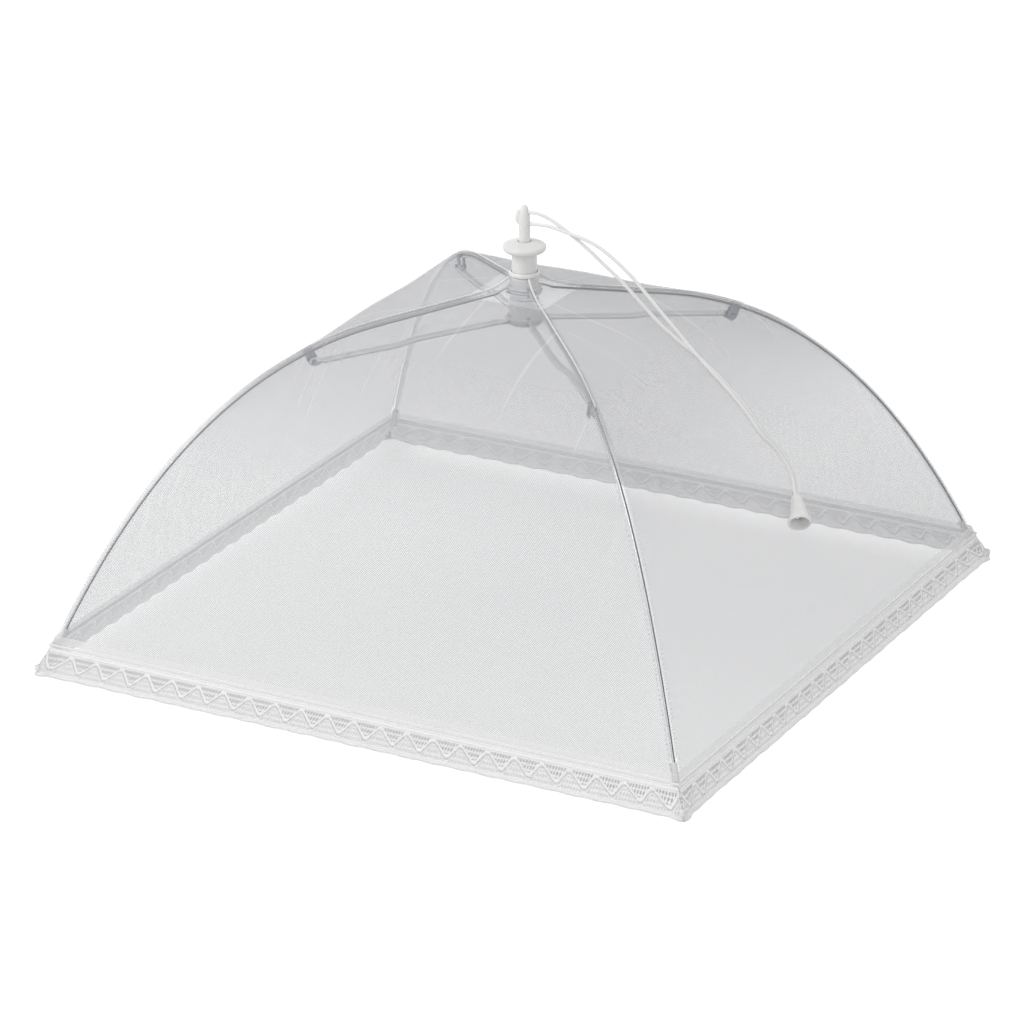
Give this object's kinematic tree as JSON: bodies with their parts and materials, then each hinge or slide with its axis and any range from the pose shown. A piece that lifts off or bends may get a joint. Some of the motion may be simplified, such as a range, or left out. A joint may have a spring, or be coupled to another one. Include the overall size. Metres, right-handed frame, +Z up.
{
  "type": "mesh food cover",
  "caption": "Square pop-up food cover: bent wire ribs on a moulded crown, folding channel struts, a plunger rod with a looped pull cord and bell, and a fine net with a lace hem.",
  "frame": {"origin": "centre of the square hem on the plane that the lace's bottom edge rests on", "axes": "+Z up along the crown's bore and the plunger rod; +X and +Y square to two neighbouring hem edges, the pull cord and its bell lying on the +X side, and the ribs running to the four corners"},
  "size_m": [0.3578, 0.3578, 0.2197],
  "materials": {
    "white_plastic": "smooth moulded",
    "nickel_wire": "bright nickel plated",
    "zinc_steel": "blue-grey zinc plated",
    "white_net": "fine knitted mesh",
    "white_lace": "machine lace",
    "white_tape": "woven tape",
    "white_cord": "braided cord"
  },
  "bodies": {
    "crown": {"crown_hub": "white_plastic", "crown_ring_wire": "zinc_steel", "net_clamp_ring": "white_plastic", "gore_right": "white_net", "gore_back": "white_net", "gore_left": "white_net", "gore_front": "white_net", "hem_cord_right": "white_tape", "hem_cord_back": "white_tape", "hem_cord_left": "white_tape", "hem_cord_front": "white_tape", "lace_right": "white_lace", "lace_back": "white_lace", "lace_left": "white_lace", "lace_front": "white_lace"},
    "plunger": {"plunger_rod": "white_plastic", "runner_hub": "white_plastic", "runner_ring_wire": "zinc_steel", "cord_bight": "white_cord"},
    "rib_back_right": {"rib_wire_back_right": "nickel_wire", "rib_bracket_back_right": "zinc_steel", "rivet_tail_back_right": "zinc_steel", "seam_tape_back_right": "white_tape", "tip_cap_back_right": "white_plastic"},
    "strut_back_right": {"strut_back_right": "zinc_steel", "rivet_head_back_right": "zinc_steel"},
    "rib_back_left": {"rib_wire_back_left": "nickel_wire", "rib_bracket_back_left": "zinc_steel", "rivet_tail_back_left": "zinc_steel", "seam_tape_back_left": "white_tape", "tip_cap_back_left": "white_plastic"},
    "strut_back_left": {"strut_back_left": "zinc_steel", "rivet_head_back_left": "zinc_steel"},
    "rib_front_left": {"rib_wire_front_left": "nickel_wire", "rib_bracket_front_left": "zinc_steel", "rivet_tail_front_left": "zinc_steel", "seam_tape_front_left": "white_tape", "tip_cap_front_left": "white_plastic"},
    "strut_front_left": {"strut_front_left": "zinc_steel", "rivet_head_front_left": "zinc_steel"},
    "rib_front_right": {"rib_wire_front_right": "nickel_wire", "rib_bracket_front_right": "zinc_steel", "rivet_tail_front_right": "zinc_steel", "seam_tape_front_right": "white_tape", "tip_cap_front_right": "white_plastic"},
    "strut_front_right": {"strut_front_right": "zinc_steel", "rivet_head_front_right": "zinc_steel"},
    "cord_run": {"cord_strand_upper": "white_cord", "cord_strand_lower": "white_cord"},
    "cord_tail": {"cord_end_upper": "white_cord", "cord_end_lower": "white_cord", "cord_knot": "white_cord", "pull_bell": "white_plastic"}
  },
  "joints": [
    {"name": "plunger_slide", "type": "slide", "parent": "crown", "child": "plunger", "axis": [0, 0, 1], "range_m": [-0.16533, 0], "deforming": ["gore_right", "gore_back", "gore_left", "gore_front", "hem_cord_right", "hem_cord_back", "hem_cord_left", "hem_cord_front", "lace_right", "lace_back", "lace_left", "lace_front", "cord_bight"]},
    {"name": "rib_back_right_hinge", "type": "hinge", "parent": "crown", "child": "rib_back_right", "pos_m": [0.00566, 0.00566, 0.1762], "axis": [-0.7071, 0.7071, 0], "range_deg": [0, 48], "deforming": ["seam_tape_back_right"]},
    {"name": "rib_back_left_hinge", "type": "hinge", "parent": "crown", "child": "rib_back_left", "pos_m": [-0.00566, 0.00566, 0.1762], "axis": [-0.7071, -0.7071, 0], "range_deg": [0, 48], "deforming": ["seam_tape_back_left"]},
    {"name": "rib_front_left_hinge", "type": "hinge", "parent": "crown", "child": "rib_front_left", "pos_m": [-0.00566, -0.00566, 0.1762], "axis": [0.7071, -0.7071, 0], "range_deg": [0, 48], "deforming": ["seam_tape_front_left"]},
    {"name": "rib_front_right_hinge", "type": "hinge", "parent": "crown", "child": "rib_front_right", "pos_m": [0.00566, -0.00566, 0.1762], "axis": [0.7071, 0.7071, 0], "range_deg": [0, 48], "deforming": ["seam_tape_front_right"]},
    {"name": "strut_back_right_hinge", "type": "hinge", "parent": "plunger", "child": "strut_back_right", "pos_m": [0.00566, 0.00566, 0.1604], "axis": [0.7071, -0.7071, 0], "range_deg": [0, 67.3]},
    {"name": "strut_back_left_hinge", "type": "hinge", "parent": "plunger", "child": "strut_back_left", "pos_m": [-0.00566, 0.00566, 0.1604], "axis": [0.7071, 0.7071, 0], "range_deg": [0, 67.3]},
    {"name": "strut_front_left_hinge", "type": "hinge", "parent": "plunger", "child": "strut_front_left", "pos_m": [-0.00566, -0.00566, 0.1604], "axis": [-0.7071, 0.7071, 0], "range_deg": [0, 67.3]},
    {"name": "strut_front_right_hinge", "type": "hinge", "parent": "plunger", "child": "strut_front_right", "pos_m": [0.00566, -0.00566, 0.1604], "axis": [-0.7071, -0.7071, 0], "range_deg": [0, 67.3]},
    {"name": "cord_run_hinge", "type": "hinge", "parent": "plunger", "child": "cord_run", "pos_m": [0, 0, 0.2133], "axis": [0.1219, -0.9925, 0], "range_deg": [0, 127.6], "deforming": ["cord_strand_upper", "cord_strand_lower"]},
    {"name": "cord_tail_hinge", "type": "hinge", "parent": "cord_run", "child": "cord_tail", "pos_m": [0.12407, 0.01523, 0.117], "axis": [0.1219, -0.9925, 0], "range_deg": [-92.6, 0], "deforming": ["cord_end_upper", "cord_end_lower"]}
  ],
  "couplings": [
    {"joint": "rib_back_right_hinge", "follows": "plunger_slide", "rad_per_m": -5.0671},
    {"joint": "rib_back_left_hinge", "follows": "plunger_slide", "rad_per_m": -5.0671},
    {"joint": "rib_front_left_hinge", "follows": "plunger_slide", "rad_per_m": -5.0671},
    {"joint": "rib_front_right_hinge", "follows": "plunger_slide", "rad_per_m": -5.0671},
    {"joint": "strut_back_right_hinge", "follows": "plunger_slide", "rad_per_m": -7.1046},
    {"joint": "strut_back_left_hinge", "follows": "plunger_slide", "rad_per_m": -7.1046},
    {"joint": "strut_front_left_hinge", "follows": "plunger_slide", "rad_per_m": -7.1046},
    {"joint": "strut_front_right_hinge", "follows": "plunger_slide", "rad_per_m": -7.1046},
    {"joint": "cord_run_hinge", "follows": "plunger_slide", "rad_per_m": -13.47},
    {"joint": "cord_tail_hinge", "follows": "plunger_slide", "rad_per_m": 9.775}
  ]
}
